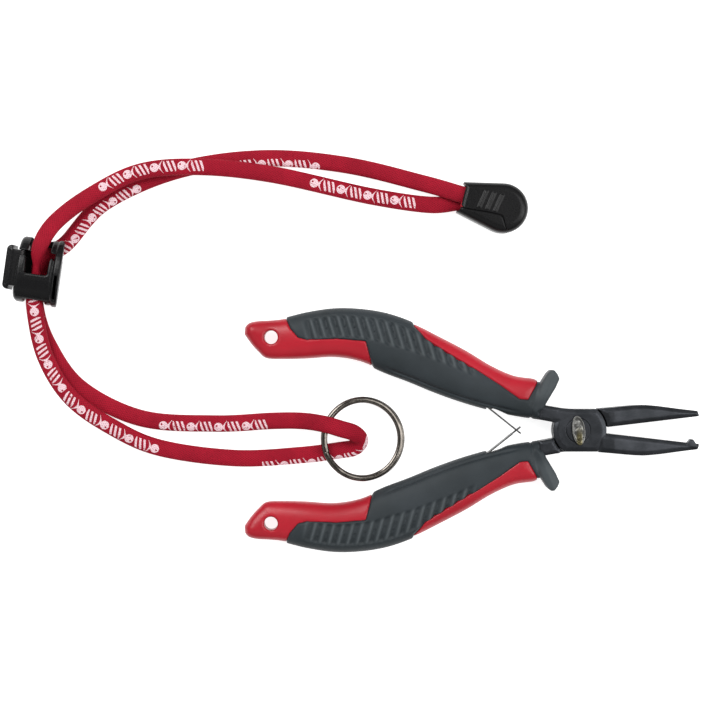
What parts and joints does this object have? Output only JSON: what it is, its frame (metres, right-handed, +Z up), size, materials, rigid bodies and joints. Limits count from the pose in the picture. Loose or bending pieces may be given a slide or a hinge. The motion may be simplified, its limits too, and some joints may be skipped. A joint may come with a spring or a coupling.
{
  "type": "fishing pliers",
  "caption": "Spring-open fishing pliers with moulded grips and a split-ring tooth, beside a flat cord lanyard with a cord lock, hinged cord end and split ring.",
  "frame": {"origin": "centre of the pliers' footprint at the level of the surface they lie on, springs open", "axes": "+X along the centre line towards the jaws' tips, +Y towards the upper handle, +Z up"},
  "size_m": [0.2316, 0.1344, 0.0126],
  "materials": {
    "steel": "dark satin coated steel",
    "rivet_steel": "satin",
    "badge_metal": "polished medallion",
    "red_plastic": "red moulded plastic",
    "grip_rubber": "soft charcoal overmould",
    "spring_steel": "bright strip",
    "cord_fabric": "braided polyester with a pale printed pattern",
    "black_plastic": "black acetal",
    "ring_metal": "black nickel plate"
  },
  "bodies": {
    "pivot": {"pivot_rivet": "rivet_steel", "pivot_badge": "badge_metal"},
    "front_half": {"front_jaw_tang": "steel", "upper_handle_core": "red_plastic", "upper_handle_grip": "grip_rubber", "upper_spring_pin": "rivet_steel"},
    "rear_half": {"rear_jaw_tang": "steel", "lower_handle_core": "red_plastic", "lower_handle_grip": "grip_rubber", "lower_spring_pin": "rivet_steel"},
    "upper_spring": {"upper_leaf_spring": "spring_steel"},
    "lower_spring": {"lower_leaf_spring": "spring_steel"},
    "lanyard": {"lanyard_cord": "cord_fabric", "cord_lock_body": "black_plastic", "cord_lock_spring": "spring_steel", "cord_end_body": "black_plastic", "cord_end_pin": "rivet_steel", "cord_end_knot": "cord_fabric"},
    "lock_button": {"cord_lock_button": "black_plastic"},
    "end_lid": {"cord_end_lid": "black_plastic"},
    "ring": {"split_ring": "ring_metal"}
  },
  "joints": [
    {"name": "handle_squeeze", "type": "hinge", "parent": "pivot", "child": "front_half", "pos_m": [0.0353, 0, 0.006], "axis": [0, 0, 1], "range_deg": [0, 7.7], "stiffness_Nm_per_rad": 1.5, "springref_deg": -1.72},
    {"name": "lower_handle_squeeze", "type": "hinge", "parent": "pivot", "child": "rear_half", "pos_m": [0.0353, 0, 0.006], "axis": [0, 0, 1], "range_deg": [-2.8, 0]},
    {"name": "upper_spring_bend", "type": "hinge", "parent": "front_half", "child": "upper_spring", "pos_m": [0.00633, 0.00836, 0.006], "axis": [0, 0, 1], "range_deg": [0, 12.3]},
    {"name": "lower_spring_bend", "type": "hinge", "parent": "rear_half", "child": "lower_spring", "pos_m": [0.00633, -0.00836, 0.006], "axis": [0, 0, 1], "range_deg": [-12.3, 0]},
    {"name": "lanyard_lift", "type": "slide", "parent": "pivot", "child": "lanyard", "axis": [0, 0, 1], "range_m": [0, 0.03]},
    {"name": "lock_press", "type": "slide", "parent": "lanyard", "child": "lock_button", "axis": [0.9903, -0.1392, 0], "range_m": [0, 0.0016], "stiffness_N_per_m": 300, "springref_m": -0.001, "deforming": ["cord_lock_spring"]},
    {"name": "end_lid_hinge", "type": "hinge", "parent": "lanyard", "child": "end_lid", "pos_m": [0.01587, 0.07258, 0.0048], "axis": [0.2487, 0.9686, 0], "range_deg": [0, 90]},
    {"name": "ring_spin", "type": "hinge", "parent": "lanyard", "child": "ring", "pos_m": [-0.036, -0.0031, 0.00321], "axis": [0.1305, 0, 0.9914], "continuous": true}
  ],
  "couplings": [
    {"joint": "lower_handle_squeeze", "follows": "handle_squeeze", "ratio": -0.36},
    {"joint": "upper_spring_bend", "follows": "handle_squeeze", "ratio": 1.597},
    {"joint": "lower_spring_bend", "follows": "handle_squeeze", "ratio": -1.597}
  ]
}
